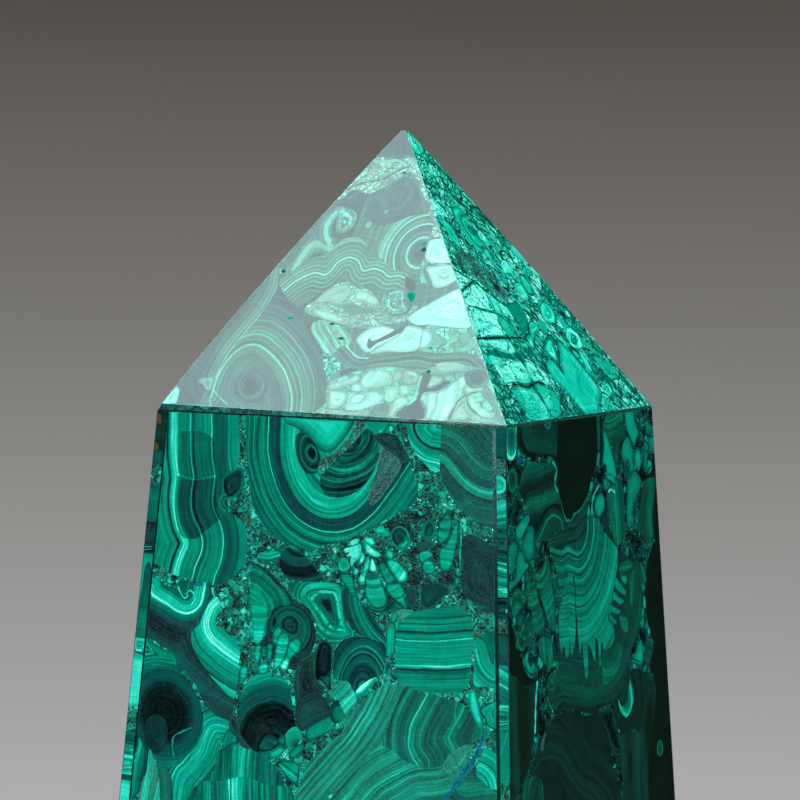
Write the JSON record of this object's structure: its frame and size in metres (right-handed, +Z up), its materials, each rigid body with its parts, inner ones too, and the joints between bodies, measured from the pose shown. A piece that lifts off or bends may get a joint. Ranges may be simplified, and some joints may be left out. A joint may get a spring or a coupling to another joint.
{
  "type": "polished malachite obelisk",
  "caption": "Tapering square obelisk of polished banded malachite with thin stone slabs on its flanks and a low pyramid cap, for standing on a shelf or desk.",
  "frame": {"origin": "centre of the flat base, on the surface the obelisk stands on", "axes": "+Z up along the shaft to the tip; -Y is the front, the mosaic face with a slab edge along each side; +X is the right flank"},
  "size_m": [0.1088, 0.1088, 0.3652],
  "materials": {
    "block_malachite": "polished mosaic of concentric banded malachite, from nearly black green to pale mint",
    "flank_malachite": "polished malachite, upright feathered bands in deep green",
    "cap_malachite": "polished malachite, pale broken cells between dark green veins",
    "joint_resin": "dark resin and stone dust in the glue lines"
  },
  "bodies": {
    "root": {"shaft_block": "block_malachite", "left_side_slab": "flank_malachite", "right_side_slab": "flank_malachite", "pyramid_cap": "cap_malachite"}
  },
  "joints": []
}
